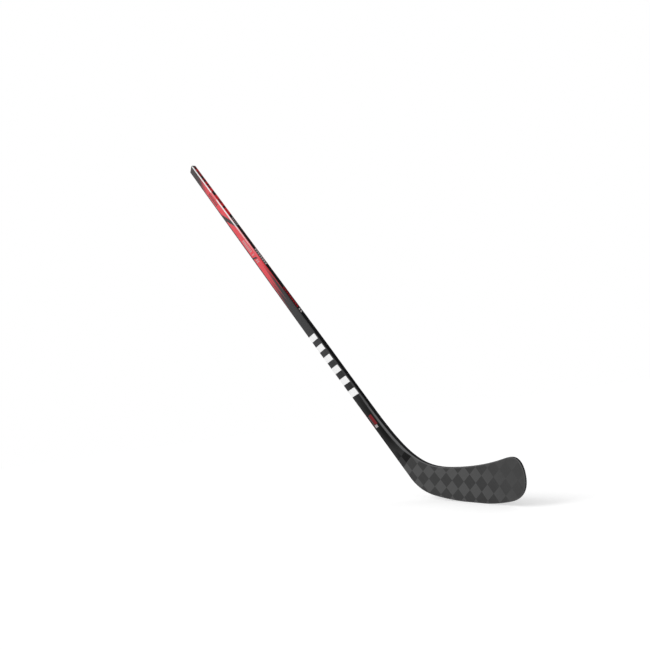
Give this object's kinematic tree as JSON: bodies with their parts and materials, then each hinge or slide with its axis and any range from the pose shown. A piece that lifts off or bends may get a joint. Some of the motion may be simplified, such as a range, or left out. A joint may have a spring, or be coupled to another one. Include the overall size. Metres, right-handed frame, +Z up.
{
  "type": "ice hockey stick",
  "caption": "Left-handed one-piece composite ice hockey stick: tapered hollow shaft with a plugged butt, bonded into the neck of a curved foam-cored blade.",
  "frame": {"origin": "the lowest point of the sole, where the blade touches the ice as the stick is held in play", "axes": "+X along the blade towards the toe, -Y out of the hollow forehand face, +Z up; the shaft rises towards -X and +Z at 46 degrees"},
  "size_m": [1.3489, 0.0447, 1.1059],
  "materials": {
    "painted_laminate": "painted carbon laminate, black and red, satin gloss clear coat",
    "weave_laminate": "bare spread-tow carbon laminate in a diamond pattern, matte",
    "edge_laminate": "black carbon edge band, satin",
    "raw_laminate": "uncoated carbon laminate, fine grain",
    "foam": "closed-cell structural foam",
    "elastomer": "damping elastomer",
    "cap_plastic": "moulded black end cap, fine grain"
  },
  "bodies": {
    "root": {"shaft_tube": "painted_laminate", "butt_cap": "cap_plastic", "butt_foam_dam": "foam", "tenon": "raw_laminate", "forehand_skin": "weave_laminate", "backhand_skin": "weave_laminate", "top_rail": "edge_laminate", "sole_rail": "edge_laminate", "toe_rail": "edge_laminate", "neck_foam": "foam", "heel_block": "elastomer", "heel_web": "raw_laminate", "core_upper": "foam", "core_lower": "foam", "centre_rib": "raw_laminate", "toe_web": "raw_laminate", "core_toe": "foam"}
  },
  "joints": []
}
